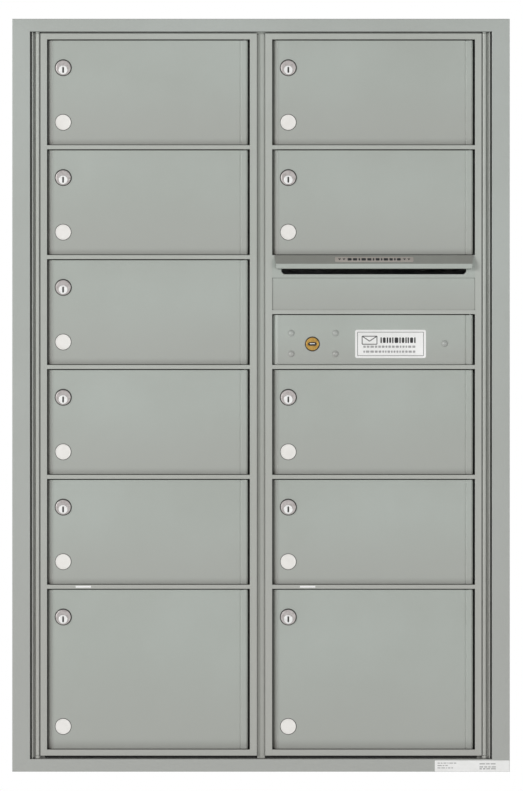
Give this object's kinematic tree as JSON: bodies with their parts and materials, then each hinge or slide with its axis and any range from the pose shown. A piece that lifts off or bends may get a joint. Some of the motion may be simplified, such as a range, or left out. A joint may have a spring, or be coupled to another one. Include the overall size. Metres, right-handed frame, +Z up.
{
  "type": "cluster mailbox unit",
  "caption": "Recessed front-loading cluster mailbox: two framed master doors carry lockable tenant doors, an outgoing-mail slot and a postal lock over sheet-metal compartments.",
  "frame": {"origin": "middle of the bottom trim strip's back face, in the plane of the wall", "axes": "+X right along the front, +Y into the wall, +Z up"},
  "size_m": [0.8044, 0.4568, 1.2174],
  "materials": {
    "trim_paint": "satin powder coat",
    "frame_paint": "satin powder coat",
    "door_paint": "satin powder coat",
    "stud_paint": "satin powder coat on steel domes",
    "sheet_aluminium": "mill finish sheet",
    "lock_nickel": "satin nickel plating",
    "plug_nickel": "polished nickel plating",
    "brass": "polished brass",
    "case_zinc": "cast and plated lock case",
    "zinc_steel": "zinc plated steel",
    "disc_plastic": "moulded white plastic",
    "label_film": "printed film"
  },
  "bodies": {
    "cabinet": {"trim_frame": "trim_paint", "cabinet_left_side": "sheet_aluminium", "cabinet_right_side": "sheet_aluminium", "cabinet_top": "sheet_aluminium", "cabinet_bottom": "sheet_aluminium", "cabinet_back": "sheet_aluminium", "centre_divider": "sheet_aluminium", "centre_mullion": "frame_paint", "shelves": "sheet_aluminium", "jamb_frame": "frame_paint", "hinge_jamb_leaves": "frame_paint", "master_hinge_pins": "zinc_steel"},
    "left_master": {"left_frame": "frame_paint", "left_hinge_leaf": "frame_paint", "left_door_pins": "zinc_steel", "left_bolt_guides": "zinc_steel"},
    "right_master": {"right_frame": "frame_paint", "right_hinge_leaf": "frame_paint", "right_door_pins": "zinc_steel", "outgoing_hood": "door_paint", "arrow_panel": "door_paint", "arrow_lock_case": "case_zinc", "arrow_panel_studs": "stud_paint", "latch_bar_guides": "zinc_steel"},
    "left_tenant_1": {"left_door_1": "door_paint", "left_lock_1": "lock_nickel"},
    "left_cylinder_1": {"left_plug_1": "plug_nickel"},
    "left_tenant_2": {"left_door_2": "door_paint", "left_lock_2": "lock_nickel"},
    "left_cylinder_2": {"left_plug_2": "plug_nickel"},
    "left_tenant_3": {"left_door_3": "door_paint", "left_lock_3": "lock_nickel"},
    "left_cylinder_3": {"left_plug_3": "plug_nickel"},
    "left_tenant_4": {"left_door_4": "door_paint", "left_lock_4": "lock_nickel"},
    "left_cylinder_4": {"left_plug_4": "plug_nickel"},
    "left_tenant_5": {"left_door_5": "door_paint", "left_lock_5": "lock_nickel"},
    "left_cylinder_5": {"left_plug_5": "plug_nickel"},
    "left_tenant_6": {"left_door_6": "door_paint", "left_lock_6": "lock_nickel"},
    "left_cylinder_6": {"left_plug_6": "plug_nickel"},
    "right_tenant_1": {"right_door_1": "door_paint", "right_lock_1": "lock_nickel"},
    "right_cylinder_1": {"right_plug_1": "plug_nickel"},
    "right_tenant_2": {"right_door_2": "door_paint", "right_lock_2": "lock_nickel"},
    "right_cylinder_2": {"right_plug_2": "plug_nickel"},
    "right_tenant_3": {"right_door_3": "door_paint", "right_lock_3": "lock_nickel"},
    "right_cylinder_3": {"right_plug_3": "plug_nickel"},
    "right_tenant_4": {"right_door_4": "door_paint", "right_lock_4": "lock_nickel"},
    "right_cylinder_4": {"right_plug_4": "plug_nickel"},
    "right_tenant_5": {"right_door_5": "door_paint", "right_lock_5": "lock_nickel"},
    "right_cylinder_5": {"right_plug_5": "plug_nickel"},
    "arrow_cylinder": {"arrow_lock_plug": "brass"},
    "latch": {"latch_bar": "zinc_steel"},
    "bolt": {"left_bolt": "zinc_steel"}
  },
  "joints": [
    {"name": "left_master_hinge", "type": "hinge", "parent": "cabinet", "child": "left_master", "pos_m": [-0.3614, -0.006, 0.6], "axis": [0, 0, -1], "range_deg": [0, 90]},
    {"name": "right_master_hinge", "type": "hinge", "parent": "cabinet", "child": "right_master", "pos_m": [0.3614, -0.006, 0.6], "axis": [0, 0, 1], "range_deg": [0, 90]},
    {"name": "left_door_hinge_1", "type": "hinge", "parent": "left_master", "child": "left_tenant_1", "pos_m": [-0.02575, -0.001, 1.08865], "axis": [0, 0, 1], "range_deg": [0, 95]},
    {"name": "left_key_turn_1", "type": "hinge", "parent": "left_tenant_1", "child": "left_cylinder_1", "pos_m": [-0.3202, -0.006, 1.1249], "axis": [0, 1, 0], "range_deg": [0, 90]},
    {"name": "left_door_hinge_2", "type": "hinge", "parent": "left_master", "child": "left_tenant_2", "pos_m": [-0.02575, -0.001, 0.91085], "axis": [0, 0, 1], "range_deg": [0, 95]},
    {"name": "left_key_turn_2", "type": "hinge", "parent": "left_tenant_2", "child": "left_cylinder_2", "pos_m": [-0.3202, -0.006, 0.9471], "axis": [0, 1, 0], "range_deg": [0, 90]},
    {"name": "left_door_hinge_3", "type": "hinge", "parent": "left_master", "child": "left_tenant_3", "pos_m": [-0.02575, -0.001, 0.73305], "axis": [0, 0, 1], "range_deg": [0, 95]},
    {"name": "left_key_turn_3", "type": "hinge", "parent": "left_tenant_3", "child": "left_cylinder_3", "pos_m": [-0.3202, -0.006, 0.7693], "axis": [0, 1, 0], "range_deg": [0, 90]},
    {"name": "left_door_hinge_4", "type": "hinge", "parent": "left_master", "child": "left_tenant_4", "pos_m": [-0.02575, -0.001, 0.55525], "axis": [0, 0, 1], "range_deg": [0, 95]},
    {"name": "left_key_turn_4", "type": "hinge", "parent": "left_tenant_4", "child": "left_cylinder_4", "pos_m": [-0.3202, -0.006, 0.5915], "axis": [0, 1, 0], "range_deg": [0, 90]},
    {"name": "left_door_hinge_5", "type": "hinge", "parent": "left_master", "child": "left_tenant_5", "pos_m": [-0.02575, -0.001, 0.37745], "axis": [0, 0, 1], "range_deg": [0, 95]},
    {"name": "left_key_turn_5", "type": "hinge", "parent": "left_tenant_5", "child": "left_cylinder_5", "pos_m": [-0.3202, -0.006, 0.4137], "axis": [0, 1, 0], "range_deg": [0, 90]},
    {"name": "left_door_hinge_6", "type": "hinge", "parent": "left_master", "child": "left_tenant_6", "pos_m": [-0.02575, -0.001, 0.1552], "axis": [0, 0, 1], "range_deg": [0, 95]},
    {"name": "left_key_turn_6", "type": "hinge", "parent": "left_tenant_6", "child": "left_cylinder_6", "pos_m": [-0.3202, -0.006, 0.2359], "axis": [0, 1, 0], "range_deg": [0, 90]},
    {"name": "right_door_hinge_1", "type": "hinge", "parent": "right_master", "child": "right_tenant_1", "pos_m": [0.3386, -0.001, 1.08865], "axis": [0, 0, 1], "range_deg": [0, 95]},
    {"name": "right_key_turn_1", "type": "hinge", "parent": "right_tenant_1", "child": "right_cylinder_1", "pos_m": [0.04415, -0.006, 1.1249], "axis": [0, 1, 0], "range_deg": [0, 90]},
    {"name": "right_door_hinge_2", "type": "hinge", "parent": "right_master", "child": "right_tenant_2", "pos_m": [0.3386, -0.001, 0.91085], "axis": [0, 0, 1], "range_deg": [0, 95]},
    {"name": "right_key_turn_2", "type": "hinge", "parent": "right_tenant_2", "child": "right_cylinder_2", "pos_m": [0.04415, -0.006, 0.9471], "axis": [0, 1, 0], "range_deg": [0, 90]},
    {"name": "right_door_hinge_3", "type": "hinge", "parent": "right_master", "child": "right_tenant_3", "pos_m": [0.3386, -0.001, 0.55525], "axis": [0, 0, 1], "range_deg": [0, 95]},
    {"name": "right_key_turn_3", "type": "hinge", "parent": "right_tenant_3", "child": "right_cylinder_3", "pos_m": [0.04415, -0.006, 0.5915], "axis": [0, 1, 0], "range_deg": [0, 90]},
    {"name": "right_door_hinge_4", "type": "hinge", "parent": "right_master", "child": "right_tenant_4", "pos_m": [0.3386, -0.001, 0.37745], "axis": [0, 0, 1], "range_deg": [0, 95]},
    {"name": "right_key_turn_4", "type": "hinge", "parent": "right_tenant_4", "child": "right_cylinder_4", "pos_m": [0.04415, -0.006, 0.4137], "axis": [0, 1, 0], "range_deg": [0, 90]},
    {"name": "right_door_hinge_5", "type": "hinge", "parent": "right_master", "child": "right_tenant_5", "pos_m": [0.3386, -0.001, 0.1552], "axis": [0, 0, 1], "range_deg": [0, 95]},
    {"name": "right_key_turn_5", "type": "hinge", "parent": "right_tenant_5", "child": "right_cylinder_5", "pos_m": [0.04415, -0.006, 0.2359], "axis": [0, 1, 0], "range_deg": [0, 90]},
    {"name": "arrow_key_turn", "type": "hinge", "parent": "right_master", "child": "arrow_cylinder", "pos_m": [0.0831, -0.007, 0.6814], "axis": [0, 1, 0], "range_deg": [0, 90]},
    {"name": "latch_slide", "type": "slide", "parent": "right_master", "child": "latch", "axis": [0, 0, 1], "range_m": [0, 0.008]},
    {"name": "left_bolt_slide", "type": "slide", "parent": "left_master", "child": "bolt", "axis": [0, 0, 1], "range_m": [0, 0.01]}
  ],
  "couplings": [
    {"joint": "arrow_key_turn", "follows": "latch_slide", "rad_per_m": 196.3}
  ]
}
